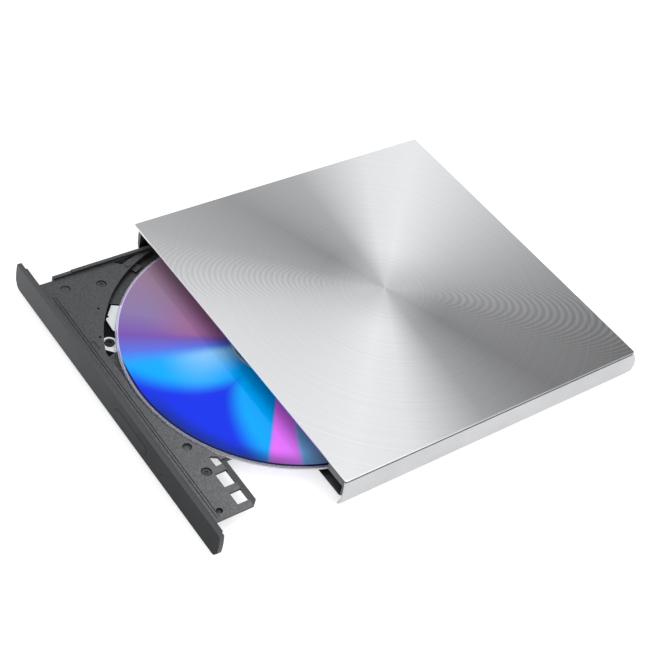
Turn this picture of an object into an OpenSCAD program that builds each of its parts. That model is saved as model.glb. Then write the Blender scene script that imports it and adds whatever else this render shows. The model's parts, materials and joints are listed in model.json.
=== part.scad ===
// External optical drive with its tray part open.
// X runs along the front, +Y is the back, +Z is up. The origin is on the table,
// under the centre of the square top plate. Tray parts are drawn in their closed
// place and carried forward by tray_open; the rails travel half as far.

/* [Case] */
// Width of the top plate
plate_w = 140; // [139:0.1:141]
// Depth of the top plate
plate_d = 139.6; // [139:0.1:141]
// Thickness of the top plate
plate_t = 0.7; // [0.6:0.1:1.4]
// Height of the whole drive, feet included
case_h = 13.9; // [13.7:0.1:15]
// Height of the rubber feet below the shell
foot_h = 0.6; // [0.3:0.1:0.7]
// Thickness of the lower shell
wall_t = 1.2; // [1:0.1:1.2]
// Half width of the lower shell where its sides bulge most
side_half = 70.5; // [70.4:0.1:71]
// Reach of the lower shell's rounded back
rear_reach = 72.6; // [72.4:0.1:73]

/* [Disc] */
// Diameter of the disc
disc_d = 120; // [118:1:120]
// Thickness of the disc
disc_t = 1.2; // [1:0.1:1.2]
// Height of the disc's underside
disc_z = 5.6; // [5.5:0.1:5.7]

/* [Tray] */
// How far the tray stands open
tray_open = 48.6; // [0:0.1:130]
// Height of the tray deck's top
deck_z = 6.9; // [6.8:0.1:7.0]
// Thickness of the tray deck
deck_t = 1.2; // [0.8:0.1:1.2]
// Radius of the wide part of the disc well
well_r = 64.1; // [63:0.1:64.4]
// Half width of the tray's front panel
bezel_half = 69.5; // [69:0.1:69.5]
// Height of the top of the front panel
bezel_top = 12.6; // [12:0.1:12.7]

/* [Hidden] */
$fn = 96;
eps = 0.02;

// heights, bottom to top
floor_z = foot_h + wall_t;
base_z = floor_z + 0.1;
base_t = 0.5;
tray_z = 3.3;
tray_floor_t = 0.9;
deck_bottom = deck_z - deck_t;
plate_z = case_h - plate_t;
carrier_t = 0.9;
shell_top = plate_z - carrier_t;
cover_z = 11.7;
cover_t = 0.4;

// plan positions
plate_front = -plate_d / 2;
frame_front = -67.9;
frame_flange_t = 1.4;
shell_front = -66.3;
cheek_front = plate_front + 0.2;
base_half = 66.6;
base_front = -63.5;
base_rear = 63.8;
sheet_t = 0.6;
disc_x = 0.8;
tray_left = -62.5;
tray_right = 38;
tray_tail = 62.5;
tray_front = -68.1;
deck_left = -61.1;
deck_right = 59.9;
deck_rear = -48.1;
well_front = -60.35;
bezel_t = 1.7;
bezel_lip = 0.8;
bezel_bottom = 1.5;

// rails
rail_front = -44;
rail_rear = 62;
rail_tongue_z = 4.4;
rail_tongue_t = 0.6;
running_gap = 0.2;

// spindle, pickup and screw
lens_r = 24;
rod_r = 0.6;
rod_z = 4.75;
rod_left = disc_x - 14.3;
rod_right = disc_x + 14.7;
rod_start = 15.5;
rod_end = 60.6;
screw_x = disc_x + 20;
screw_r = 0.7;
metal_z = 3.4;
metal_t = 0.6;

// colours
alu = [0.80, 0.81, 0.82];
silver = [0.84, 0.85, 0.86];
dark = [0.36, 0.37, 0.38];
black = [0.08, 0.08, 0.09];
steel = [0.66, 0.68, 0.70];
board_green = [0.10, 0.36, 0.24];

// ---------- shared shapes ----------

// rectangle with round corners, centred
module round_rect(w, d, r) {
    square([w - 2 * r, d], center = true);
    square([w, d - 2 * r], center = true);
    for (x = [-1, 1], y = [-1, 1])
        translate([x * (w / 2 - r), y * (d / 2 - r)]) circle(r);
}

// slot with round ends between x0 and x1
module stadium(x0, x1, z, r) {
    translate([x0 + r, z - r]) square([x1 - x0 - 2 * r, 2 * r]);
    translate([x0 + r, z]) circle(r);
    translate([x1 - r, z]) circle(r);
}

// box from corner to corner
module block(a, b) {
    translate(a) cube(b - a);
}

// flat outline with sides that bulge by an arc and a rounded lower edge
module bowl(half, mid, arc_r, low, high, edge_r) {
    flat = half - arc_r + sqrt(arc_r * arc_r - (mid - low) * (mid - low));
    intersection() {
        union() {
            translate([-(half - arc_r), low]) square([2 * (half - arc_r), high - low]);
            for (s = [-1, 1])
                translate([s * (half - arc_r), mid]) circle(arc_r, $fn = 360);
        }
        union() {
            translate([-flat - 1, low + edge_r]) square([2 * flat + 2, high - low - edge_r]);
            translate([-(flat - edge_r), low]) square([2 * (flat - edge_r), high - low]);
            for (s = [-1, 1])
                translate([s * (flat - edge_r), low + edge_r]) circle(edge_r);
        }
    }
}

// stands an outline drawn as (x, z) between two depths
module stand(y0, y1) {
    translate([0, y1, 0]) rotate([90, 0, 0]) linear_extrude(y1 - y0) children();
}

// runs an outline drawn as (y, z) across the width
module run_across(x0, x1) {
    translate([x0, 0, 0]) rotate([90, 0, 90]) linear_extrude(x1 - x0) children();
}

// carries what rides on the tray
module on_tray() {
    translate([0, -tray_open, 0]) children();
}

// carries what rides on the rails
module on_rails() {
    translate([0, -tray_open / 2, 0]) children();
}

// countersunk screw, head down at z0
module screw_up(p, z0, head_r, shank_r, length) {
    translate([p[0], p[1], z0]) difference() {
        union() {
            cylinder(r = head_r, h = 0.7);
            cylinder(r = shank_r, h = length);
        }
        translate([0, 0, -eps]) cylinder(r = head_r * 0.42, h = 0.4, $fn = 6);
    }
}

// ---------- case ----------

module top_plate() {
    color(alu) translate([0, 0, plate_z]) linear_extrude(plate_t) round_rect(plate_w, plate_d, 0.8);
}

groove_in = 0.25;
carrier_front = plate_front + 2.8;
carrier_band = 5;
post_points = [[-56, 66.2], [34, 66.2]];
post_r = 1.9;

module plate_carrier() {
    color(dark) difference() {
        union() {
            translate([0, 0, shell_top]) linear_extrude(carrier_t) difference() {
                intersection() {
                    round_rect(plate_w - 2 * groove_in, plate_d - 2 * groove_in, 0.6);
                    translate([-80, carrier_front]) square([160, 160]);
                }
                square([plate_w - 2 * carrier_band, plate_d - 2 * carrier_band], center = true);
            }
            for (x = [-1, 1], y = [-38, 4, 44])
                translate([x * 67.6 - 0.4, y - 4, shell_top - 2]) cube([0.8, 8, 2 + eps]);
            for (p = post_points)
                translate([p[0], p[1], floor_z]) cylinder(r = post_r, h = shell_top - floor_z + eps);
        }
        for (p = post_points)
            translate([p[0], p[1], floor_z - eps]) cylinder(r = 0.75, h = 8);
    }
}

side_mid = 6.8;
side_arc = 26;
rear_mid = 4.0;
rear_arc = 15.4;
shell_edge = 1.5;
drive_screw_points = [[-52, -40], [52, -48], [-52, 44], [30, 44]];
foot_points = [[-58, -54], [58, -54], [-58, 58], [58, 58]];
foot_r = 5;
port_x = 54;
port_z = 5.4;
port_w = 8.9;
port_h = 3.2;

// outer or inner form of the lower shell, cut in by t
module shell_form(t, low, high, edge_r) {
    intersection() {
        stand(-80, 80) bowl(side_half - t, side_mid, side_arc - t, low, high, edge_r);
        run_across(-80, 80) bowl(rear_reach - t, rear_mid, rear_arc - t, low, high, edge_r);
    }
}

// right hand end of the shell that reaches forward past the mouth
module cheek() {
    intersection() {
        difference() {
            shell_form(0, foot_h, shell_top, shell_edge);
            stand(-75, shell_front + 1)
                bowl(bezel_half + 0.25, side_mid, side_arc - 0.75, 1.2, shell_top + 1, shell_edge);
        }
        block([68.6, cheek_front, 0], [75, shell_front + eps, case_h]);
    }
}

module lower_shell() {
    color(silver) {
        difference() {
            intersection() {
                shell_form(0, foot_h, shell_top, shell_edge);
                block([-75, shell_front, 0], [75, 75, case_h]);
            }
            shell_form(wall_t, floor_z, shell_top + 2, 0.8);
            stand(60, 80) stadium(port_x - port_w / 2 - 0.4, port_x + port_w / 2 + 0.4, port_z,
                port_h / 2 + 0.4);
            for (p = concat(drive_screw_points, post_points))
                translate([p[0], p[1], 0]) {
                    cylinder(r = 1.0, h = 4);
                    cylinder(r = 2.0, h = foot_h + 0.8);
                }
            for (p = foot_points)
                translate([p[0], p[1], 0]) cylinder(r = foot_r + 0.1, h = foot_h + 0.4);
        }
        cheek();
    }
}

mouth_half = 67.3;
mouth_low = 2.6;
mouth_high = 12.0;
step_x = 58.5;
step_z = 7.3;

// opening of the mouth, lower where it passes only the tray's right corner
module mouth_outline() {
    translate([-mouth_half, mouth_low]) square([mouth_half + step_x, mouth_high - mouth_low]);
    translate([0, mouth_low]) square([mouth_half, step_z - mouth_low]);
}

module mouth_frame() {
    color(dark) difference() {
        union() {
            stand(frame_front, frame_front + frame_flange_t)
                bowl(69.0, 11, 50, 2.2, shell_top, 1.8);
            stand(frame_front + frame_flange_t - eps, base_front - 0.2)
                bowl(68.0, 11, 50, floor_z + 0.05, shell_top, 1.2);
        }
        stand(-80, 0) mouth_outline();
    }
}

module rubber_feet() {
    color(black) for (p = foot_points)
        translate([p[0], p[1], 0]) {
            cylinder(r = foot_r - 0.4, h = 0.3);
            translate([0, 0, 0.3]) cylinder(r = foot_r, h = foot_h + 0.1);
        }
}

module case_screws() {
    color(steel) for (p = post_points) screw_up(p, foot_h + 0.1, 1.85, 0.7, 7);
}

module drive_screws() {
    color(steel) for (p = drive_screw_points) screw_up(p, foot_h + 0.1, 1.85, 0.7, 1.75);
}

// ---------- drive housing ----------

module drive_base() {
    color(steel) difference() {
        union() {
            block([-base_half, base_front, base_z], [base_half, base_rear, base_z + base_t]);
            for (s = [-1, 1])
                translate([s * (base_half - sheet_t / 2) - sheet_t / 2, base_front, base_z])
                    cube([sheet_t, base_rear - base_front, cover_z - base_z]);
            block([-base_half, base_rear - sheet_t, base_z], [base_half, base_rear, cover_z]);
            for (p = [[47, -38], [63, -38], [47, 56], [63, 56]])
                translate([p[0], p[1], base_z]) cylinder(r = 1.5, h = 3.0 - base_z);
        }
        block([42.5, base_rear - 2, base_z + base_t], [65.8, base_rear + 1, 7.4]);
        translate([ejector_x, base_rear - 2, ejector_z]) rotate([-90, 0, 0])
            cylinder(r = pin_r + 0.08, h = 4);
        for (p = drive_screw_points)
            translate([p[0], p[1], 0]) cylinder(r = 0.8, h = 4);
        for (y = [-44, -22, 0, 22])
            translate([-30, y, 0]) cylinder(r = 2.5, h = 4);
    }
}

module drive_cover() {
    color(steel) difference() {
        union() {
            block([-base_half, base_front, cover_z], [base_half, base_rear, cover_z + cover_t]);
            translate([0, 0, cover_z + cover_t - eps]) linear_extrude(0.2) difference() {
                circle(38);
                circle(36.5);
            }
        }
        for (x = [-60, 60], y = [-50, 50])
            translate([x, y, cover_z - 1]) cylinder(r = 1.1, h = 3);
    }
}

// strip with a groove for a rail's outer tongue; s is +1 on the right
module guide(x0, x1, y0, z1, s) {
    difference() {
        block([x0, y0, base_z + base_t], [x1, rail_rear - 1, z1]);
        groove = (s < 0) ? [x1 - 0.8, x1 + 1] : [x0 - 1, x0 + 1.0];
        block([groove[0], -100, rail_tongue_z - running_gap],
            [groove[1], 100, rail_tongue_z + rail_tongue_t + running_gap]);
    }
}

module left_guide() {
    color(dark) guide(-66.0, -64.5, rail_front - 14, 6.4, -1);
}

module right_guide() {
    color(dark) difference() {
        guide(40.6, 42.3, rail_front - 2, 5.3, 1);
        block([40, 29, 0], [43, 41, base_z + base_t + 0.4]);
    }
}

post_x = 47.5;
post_y = -60.2;

module catch_post() {
    color(steel) translate([post_x, post_y, base_z + base_t]) {
        cylinder(r = 0.9, h = 2.3);
        cylinder(r = 1.8, h = 0.3);
    }
}

// ---------- electronics ----------

board_left = 43.5;
board_right = 65.6;
board_front = -44;
board_rear = 69.3;
board_z = 3.0;
board_t = 0.8;
board_holes = [[47, -38], [63, -38], [47, 56], [63, 56]];

module insulating_sheet() {
    color(black) difference() {
        block([board_left, board_front, base_z + base_t], [board_right, 62.8, base_z + base_t + 0.15]);
        for (p = board_holes) translate([p[0], p[1], 0]) cylinder(r = 1.8, h = 5);
    }
}

module main_board() {
    color(board_green) difference() {
        block([board_left, board_front, board_z], [board_right, board_rear, board_z + board_t]);
        for (p = board_holes) translate([p[0], p[1], 0]) cylinder(r = 0.8, h = 5);
        block([board_left - 1, 20, 0], [board_left + 1.5, 26, 5]);
    }
}

// flat package with legs along two sides
module chip(x, y, w, d, legs) {
    top = board_z + board_t;
    block([x - w / 2, y - d / 2, top + 0.1], [x + w / 2, y + d / 2, top + 0.9]);
    for (i = [0:legs - 1], s = [-1, 1])
        translate([x + s * (w / 2 + 0.3) - 0.35, y - d / 2 + (i + 0.5) * d / legs - 0.15, top])
            cube([0.7, 0.3, 0.45]);
}

module controller_chip() {
    color(black) chip(54.5, 0, 11, 11, 12);
}

module bridge_chip() {
    color(black) chip(55, 42, 7, 7, 8);
}

module board_parts() {
    top = board_z + board_t;
    color([0.55, 0.50, 0.42]) {
        for (i = [0:5]) translate([46 + 3 * i, -24, top]) cube([1.6, 0.8, 0.6]);
        for (i = [0:4]) translate([47 + 3.4 * i, 20, top]) cube([0.8, 1.6, 0.6]);
        for (i = [0:3]) translate([49 + 3.6 * i, 54, top]) cube([1.6, 0.8, 0.6]);
        for (y = [-16, 30]) translate([61, y, top]) cylinder(r = 2.2, h = 1.2);
        translate([50, 31, top]) cube([5, 2.5, 0.9]);
        translate([57, -36, top]) cube([3, 3, 1.0]);
    }
}

module flex_connector() {
    top = board_z + board_t;
    color([0.9, 0.88, 0.82]) block([45.0, 34.2, top], [48, 45.8, top + 1.2]);
}

flex_z = base_z + base_t + 0.05;

// flat ribbon that lies folded on the drive's floor and climbs to its socket
module flex_cable() {
    color([0.85, 0.75, 0.55]) {
        block([12, -26, flex_z], [20, 40, flex_z + 0.15]);
        block([12, 30, flex_z], [43.2, 40, flex_z + 0.15]);
        block([43.05, 35, flex_z], [43.2, 40, 4.45]);
        block([43.05, 35, 4.3], [45.0, 40, 4.45]);
    }
}

module usb_port() {
    color(steel) difference() {
        stand(64.6, 71.9) stadium(port_x - port_w / 2, port_x + port_w / 2, port_z, port_h / 2);
        stand(65.2, 73) stadium(port_x - port_w / 2 + 0.3, port_x + port_w / 2 - 0.3, port_z,
            port_h / 2 - 0.3);
    }
}

module usb_tongue() {
    color(black) block([port_x - 3.3, 65.2, port_z - 0.35], [port_x + 3.3, 70.6, port_z + 0.35]);
}

// ---------- tray kick-out ----------

ejector_x = -40;
ejector_z = 4.5;
pin_r = 1.0;
pin_tip = tray_tail + 0.2;
pin_shoulder = pin_tip + 3.6;
spring_end = 69.6;

module ejector_housing() {
    color(dark) difference() {
        block([ejector_x - 2.6, base_rear, base_z], [ejector_x + 2.6, 70.2, 6.4]);
        translate([ejector_x, base_rear - 1, ejector_z]) rotate([-90, 0, 0])
            cylinder(r = pin_r + 0.08, h = spring_end + 1 - base_rear);
    }
}

module ejector_spring() {
    wire_r = 0.13;
    coils = 6;
    step = (spring_end - pin_shoulder - 2 * wire_r - 0.1) / (coils - 1);
    color(steel) for (i = [0:coils - 1])
        translate([ejector_x, pin_shoulder + wire_r + 0.05 + i * step, ejector_z]) rotate([-90, 0, 0])
            rotate_extrude() translate([0.75, 0]) circle(wire_r, $fn = 16);
}

module ejector_pin() {
    color(dark) translate([ejector_x, 0, ejector_z]) rotate([-90, 0, 0]) {
        translate([0, 0, pin_tip]) cylinder(r = pin_r, h = pin_shoulder - pin_tip);
        translate([0, 0, pin_tip]) cylinder(r = 0.5, h = spring_end - 0.2 - pin_tip);
    }
}

// ---------- rails ----------

// runner with a tongue on each side
module rail(x0, x1, z0, z1) {
    reach = 0.9;
    block([x0, rail_front, z0], [x1, rail_rear, z1]);
    block([x0 - reach, rail_front, rail_tongue_z], [x1 + reach, rail_rear, rail_tongue_z + rail_tongue_t]);
}

module left_rail() {
    color(steel) on_rails() rail(-64.2, -62.8, 3.0, 6.0);
}

module right_rail() {
    color(steel) on_rails() rail(38.3, 40.3, 3.0, 5.2);
}

// ---------- tray ----------

button_x0 = 3.6;
button_x1 = 24.4;
button_z = 6.0;
button_r = 2.3;
button_play = 0.2;
stem_x = 14;
stem_z = 5.0;
stem_r = 0.5;
lip_top = bezel_top - 0.5;
bezel_front = tray_front - bezel_lip - bezel_t;

module tray_bezel() {
    color(dark) on_tray() difference() {
        union() {
            stand(bezel_front, bezel_front + bezel_t)
                bowl(bezel_half, 7.4, side_arc, bezel_bottom, bezel_top, 2.4);
            block([-66, bezel_front + bezel_t - eps, 3.0], [67, tray_front, lip_top]);
        }
        stand(bezel_front - 1, tray_front - 0.5)
            stadium(button_x0 - button_play, button_x1 + button_play, button_z,
                button_r + button_play);
        translate([stem_x, tray_front - 2, stem_z]) rotate([-90, 0, 0]) cylinder(r = stem_r + 0.15, h = 4);
        translate([34.6, bezel_front - 1, 5.8]) rotate([-90, 0, 0]) cylinder(r = 0.6, h = 6);
    }
}

module eject_button() {
    color(dark) on_tray() {
        stand(bezel_front - 0.05, bezel_front + 1.3)
            stadium(button_x0, button_x1, button_z, button_r);
        translate([stem_x, bezel_front + 1.2, stem_z]) rotate([-90, 0, 0]) cylinder(r = stem_r, h = 2.25);
    }
}

// wide part of the well on the left and at the back, with a straight front edge
module wide_well() {
    intersection() {
        translate([disc_x, 0]) circle(well_r, $fn = 240);
        translate([-90, well_front]) square([180, 180]);
        polygon([[disc_x, 0], [-4.5, -60.6], [-4.5, -90], [-90, -90], [-90, 90], [38, 90], [38, 0]]);
    }
}

module disc_well() {
    translate([disc_x, 0]) circle(disc_d / 2 + 0.9, $fn = 240);
    wide_well();
}

// the places where the deck is open right through
module deck_windows() {
    polygon([[35.9, -52.9], [35.8, -52.1], [36.9, -50.1], [39.4, -49.8], [40.3, -50.7], [40.3, -52.9]]);
    translate([42.9, -55.1]) square([6.3, 4.6]);
    translate([51.9, -55.1]) square([5.3, 4.6]);
}

// sharp gap between the left wall and the rim of the well
module deck_notch() {
    polygon([[-60.9, -35.0], [-58.6, -32.4], [-59.9, -28.8], [-61.2, -24.4]]);
}

module deck_outline() {
    difference() {
        union() {
            polygon([
                [deck_left, tray_front], [deck_right, tray_front], [deck_right, deck_rear - 2.2],
                [deck_right - 2.1, deck_rear], [tray_right, deck_rear], [deck_left, deck_rear]
            ]);
            translate([tray_left, -59.6]) square([tray_right - tray_left, tray_tail + 59.6]);
        }
        disc_well();
        deck_windows();
        deck_notch();
    }
}

traverse_gap = 0.6;
traverse_x = [-42, 28];
traverse_y = [-38, 60.6];
slot_left = disc_x - 12.2;
slot_right = disc_x + 12.6;
corner_x = 33;
corner_y = -46.8;

// light metal sub-frame, seen from above, with its ear at the front
module traverse_outline() {
    translate([traverse_x[0], traverse_y[0]])
        square([traverse_x[1] - traverse_x[0], traverse_y[1] - traverse_y[0]]);
    polygon([[-36, -32.6], [-43.6, -45.2], [-37.8, -50.6], [-32, -51.0], [-26, -46], [-26, -36]]);
}

// corner that the floor and the shield leave free under the deck's first window
module floor_corner() {
    translate([corner_x, -54]) square([10, 54 + corner_y]);
}

// where the tray floor is open for the sub-frame and its front damper
module floor_cutout() {
    translate([traverse_x[0] - traverse_gap, traverse_y[0] - traverse_gap])
        square([traverse_x[1] - traverse_x[0] + 2 * traverse_gap,
            traverse_y[1] - traverse_y[0] + 2 * traverse_gap]);
    intersection() {
        translate([disc_x, 0]) circle(well_r);
        polygon([[-36, -31.4], [-46.6, -49.1], [-46, -60], [-20, -62], [-21.8, -56], [-21, -36]]);
    }
}

module tray_floor() {
    translate([0, 0, tray_z]) linear_extrude(tray_floor_t) difference() {
        translate([tray_left, -66]) square([tray_right - tray_left, tray_tail + 66]);
        translate([tray_left - 1, -67]) square([1 + deck_left - tray_left, 7.4]);
        floor_cutout();
        floor_corner();
    }
}

module tray_walls() {
    low = tray_z + tray_floor_t - eps;
    // left side, raised above the deck
    block([tray_left, -59.6, low], [tray_left + 1.3, tray_tail, deck_z + 1.3]);
    block([tray_left, -59.6, low], [tray_left + 1.6, tray_tail, deck_bottom + eps]);
    // rim of the wide well
    translate([0, 0, low]) linear_extrude(deck_bottom - low + eps) difference() {
        intersection() {
            translate([disc_x, 0]) circle(well_r + 1.2, $fn = 240);
            polygon([
                [disc_x, 0], [-30, -66], [tray_left, -66], [tray_left, tray_tail],
                [tray_right, tray_tail], [tray_right, 40]
            ]);
        }
        translate([disc_x, 0]) circle(well_r, $fn = 240);
    }
    // front, right and rear edges
    block([-58, tray_front, low], [11, tray_front + 1, deck_bottom + eps]);
    block([17, tray_front, low], [tray_right, tray_front + 1, deck_bottom + eps]);
    block([tray_right - 1.6, corner_y, low], [tray_right, tray_tail, 5.2]);
    block([tray_left, tray_tail - 1.2, low], [tray_right, tray_tail, 5.2]);
    // rib under the right-hand corner
    block([tray_right, deck_rear - 0.9, deck_bottom - 0.8],
        [deck_right - 2.1, deck_rear, deck_bottom + eps]);
    // pivot for the latch
    translate([latch_x, latch_y, 4.0]) cylinder(r = 1.0, h = deck_bottom - 4.0 + eps);
}

deck_slope_x = 38.6;
deck_slope_y = -50.45;
screw_points = [[-52.4, -44.5], [40.9, -57.1]];

// small recesses, holes and lines in the top of the deck
module deck_marks() {
    for (p = screw_points) {
        translate([p[0], p[1], deck_z - 0.7]) cylinder(r = 1.9, h = 2);
        translate([p[0], p[1], deck_bottom - 1]) cylinder(r = 0.9, h = 3);
    }
    translate([-55.3, -57.9, deck_z - 0.4]) cylinder(r = 1.9, h = 2);
    translate([28.8, -57.2, deck_z - 0.9]) cylinder(r = 1.7, h = 2);
    translate([56.6, -61.9, deck_z - 1.0]) cylinder(r = 1.2, h = 2);
    for (p = [[-28.6, -58.4], [-41.6, -51.9]])
        translate([p[0], p[1], deck_bottom - 1]) cylinder(r = 0.5, h = 3);
    for (y = [-64.4, -63.4])
        block([deck_left + 8, y, deck_z - 0.25], [deck_right - 1, y + 0.3, deck_z + 1]);
    translate([0, 0, deck_z - 0.25]) linear_extrude(2) stadium(-28, -23, -62.0, 0.8);
}

module tray_frame() {
    color(dark) on_tray() difference() {
        union() {
            tray_floor();
            translate([0, 0, deck_bottom]) linear_extrude(deck_t) deck_outline();
            tray_walls();
            // tab that the disc's edge clears, and the small boss beside the notch
            translate([disc_x, 0, tray_z + tray_floor_t - eps]) rotate([0, 0, 205.5])
                translate([61.9, -2, 0]) cube([2.3, 4, 1.0]);
            translate([-57.4, -30.6, deck_z - eps]) cylinder(r = 1.0, h = 0.35);
        }
        deck_marks();
        // grooves for the rails' inner tongues
        block([tray_left - 1, -60, rail_tongue_z - running_gap],
            [tray_left + 0.8, 70, rail_tongue_z + rail_tongue_t + running_gap]);
        block([tray_right - 0.8, rail_front - 2, rail_tongue_z - running_gap],
            [tray_right + 1, 70, rail_tongue_z + rail_tongue_t + running_gap]);
        // the right hand wing slopes down behind its windows
        run_across(deck_slope_x, deck_right + 1) polygon([
            [deck_slope_y, deck_z], [deck_rear + 1, deck_z - 1.0],
            [deck_rear + 1, deck_z + 2], [deck_slope_y, deck_z + 2]
        ]);
        // step in the raised left wall
        block([tray_left - 1, -60, deck_z + 0.9], [tray_left + 2, -52, deck_z + 3]);
    }
}

module tray_screws() {
    color(black) on_tray() for (p = screw_points)
        translate([p[0], p[1], deck_bottom]) difference() {
            union() {
                cylinder(r = 0.8, h = 1.0);
                translate([0, 0, 0.5]) cylinder(r = 1.6, h = 0.35);
            }
            translate([0, 0, 0.65]) cylinder(r = 0.7, h = 1, $fn = 6);
        }
}

module tray_shield() {
    color(steel) on_tray() difference() {
        translate([0, 0, tray_z - 0.25]) linear_extrude(0.2) difference() {
            translate([tray_left + 1.5, -65]) square([tray_right - tray_left - 3, tray_tail + 64]);
            floor_corner();
        }
        for (y = [-50, -20, 20, 50], x = [-50, 20])
            translate([x, y, 0]) cylinder(r = 1.5, h = 5);
    }
}

// ---------- pickup mechanism on the tray ----------

grommet_points = [[-27, -55.2], [22, -32], [-36, 50], [25.3, 38]];
grommet_r = 1.9;

module traverse_plate() {
    color(silver) on_tray() difference() {
        translate([0, 0, metal_z]) linear_extrude(metal_t) difference() {
            traverse_outline();
            translate([slot_left, 13.4]) square([slot_right - slot_left, 46.4]);
            translate([-39.1, -49.4]) circle(0.6);
            translate([-34, -14]) square([12, 30]);
        }
        translate([disc_x, 0, 0]) cylinder(r = 1.0, h = 10);
        for (p = grommet_points)
            translate([p[0], p[1], 0]) cylinder(r = grommet_r, h = 10);
    }
}

// eye that carries the front damper
module damper_bracket() {
    color(silver) on_tray() difference() {
        translate([0, 0, tray_z - 0.05]) linear_extrude(0.8)
            intersection() {
                union() {
                    translate(grommet_points[0]) circle(2.9);
                    polygon([[-27.6, -57.8], [-24.8, -58.4], [-22.1, -55.9], [-22.1, -52.2], [-26.4, -52.3]]);
                }
                translate([disc_x, 0]) circle(well_r - 0.3);
            }
        translate([grommet_points[0][0], grommet_points[0][1], 0]) cylinder(r = grommet_r, h = 10);
    }
}

module damper_grommets() {
    color(black) on_tray() for (p = grommet_points)
        translate([p[0], p[1], metal_z]) difference() {
            cylinder(r = grommet_r - 0.05, h = metal_t + 0.4);
            translate([0, 0, 0.4]) cylinder(r = 0.8, h = 2);
        }
}

module spindle_motor() {
    color(steel) on_tray() translate([disc_x, 0, metal_z + metal_t]) difference() {
        union() {
            cylinder(r = 10.5, h = 0.3);
            cylinder(r = 9.5, h = 0.7);
        }
        translate([0, 0, -1]) cylinder(r = 0.75, h = 3);
    }
}

module rod(x) {
    on_tray() translate([x, rod_start, rod_z]) rotate([-90, 0, 0]) cylinder(r = rod_r, h = rod_end - rod_start);
}

module front_guide_rod() {
    color(steel) rod(rod_left);
}

module rear_guide_rod() {
    color(steel) rod(rod_right);
}

module rod_clamps() {
    top = metal_z + metal_t;
    color(black) on_tray() for (x = [rod_left, rod_right])
        difference() {
            union() {
                block([x - 1.6, rod_start - 1, top], [x + 1.6, rod_start + 0.8, 5.4]);
                block([x - 1.2, 58.6, top], [x + 1.2, 60.4, 5.4]);
            }
            translate([x, rod_start, rod_z]) rotate([-90, 0, 0]) cylinder(r = rod_r + 0.02, h = 60);
        }
}

module sled_motor() {
    top = metal_z + metal_t;
    color(steel) on_tray() difference() {
        union() {
            block([screw_x - 3, 53.6, top], [screw_x + 3, 59.6, 5.45]);
            block([screw_x - 1.5, 17.5, top], [screw_x + 1.5, 18.3, 5.45]);
            block([screw_x + 0.9, 17.5, top], [screw_x + 1.5, 53.6 + eps, top + 0.3]);
        }
        translate([screw_x, 17, rod_z]) rotate([-90, 0, 0]) cylinder(r = 0.6, h = 40);
    }
}

thread_pitch = 3.0;

module lead_screw() {
    color(steel) on_tray() translate([screw_x, 0, rod_z]) rotate([-90, 0, 0]) {
        translate([0, 0, 17.6]) cylinder(r = 0.4, h = 38);
        translate([0, 0, 18.6]) cylinder(r = screw_r - 0.2, h = 35);
        for (i = [0:10])
            translate([0, 0, 19.6 + i * thread_pitch]) cylinder(r = screw_r, h = 1.2);
    }
}

module pickup_carriage() {
    y0 = lens_r - 9.2;
    y1 = lens_r + 4;
    color(dark) on_tray() difference() {
        union() {
            block([slot_left + 0.5, y0, 3.6], [slot_right - 0.5, y1, 5.2]);
            block([rod_left - 1.4, y0 + 1.8, 4.1], [rod_right + 1.4, y1 - 1, 5.4]);
            block([rod_right + 1.3, y0 + 4, 4.2], [screw_x - screw_r - 0.1, y0 + 7, 5.3]);
        }
        for (x = [rod_left, rod_right])
            translate([x, 0, rod_z]) rotate([-90, 0, 0]) cylinder(r = rod_r + 0.04, h = 60);
        translate([disc_x, lens_r, 4.4]) cylinder(r = 3.2, h = 3);
        translate([disc_x - 6, y0 + 2.6, 4.9]) cube([12, 3, 2]);
    }
}

module lens_surround() {
    color(silver) on_tray() translate([disc_x, lens_r, 4.4]) difference() {
        cylinder(r = 3.1, h = 0.85);
        translate([0, 0, 0.3]) cylinder(r = 2.1, h = 2);
    }
}

module objective_lens() {
    color([0.55, 0.65, 0.85]) on_tray() intersection() {
        translate([disc_x, lens_r, 4.7]) cylinder(r = 2.05, h = 0.8);
        translate([disc_x, lens_r, 5.4 - 6]) sphere(6);
    }
}

// ---------- front electronics and latch ----------

module tray_board() {
    color(board_green) on_tray() block([-20, -66.4, tray_z + tray_floor_t], [26, -62.6, 4.8]);
}

module eject_switch() {
    color(black) on_tray() block([stem_x - 2, -66.6, 4.8], [stem_x + 2, -64.2, 5.6]);
}

latch_x = 53;
latch_y = -64.5;
latch_open = 20;

module solenoid() {
    color(steel) on_tray() {
        block([39.5, -67.6, 4.2], [46.5, -63.6, deck_bottom]);
        translate([46.5 - eps, latch_y - 0.2, 4.9]) rotate([0, 90, 0]) cylinder(r = 0.45, h = 3.3);
    }
}

// hook that holds the post; drawn latched, then swung clear as it stands with the tray open
module latch_lever() {
    color(silver) on_tray() translate([latch_x, latch_y, 0]) rotate([0, 0, -latch_open]) difference() {
        union() {
            translate([0, 0, 4.15]) cylinder(r = 1.8, h = 1.3);
            block([-0.7, 0, 4.15], [0.7, 6.6, 5.2]);
            block([-6.4, 5.4, 4.15], [0.7, 6.6, 5.2]);
            block([-2.8, -0.9, 4.15], [0, 0.5, 5.2]);
        }
        cylinder(r = 1.06, h = 10);
    }
}

// ---------- disc ----------

hub_r = 7.3;

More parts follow.
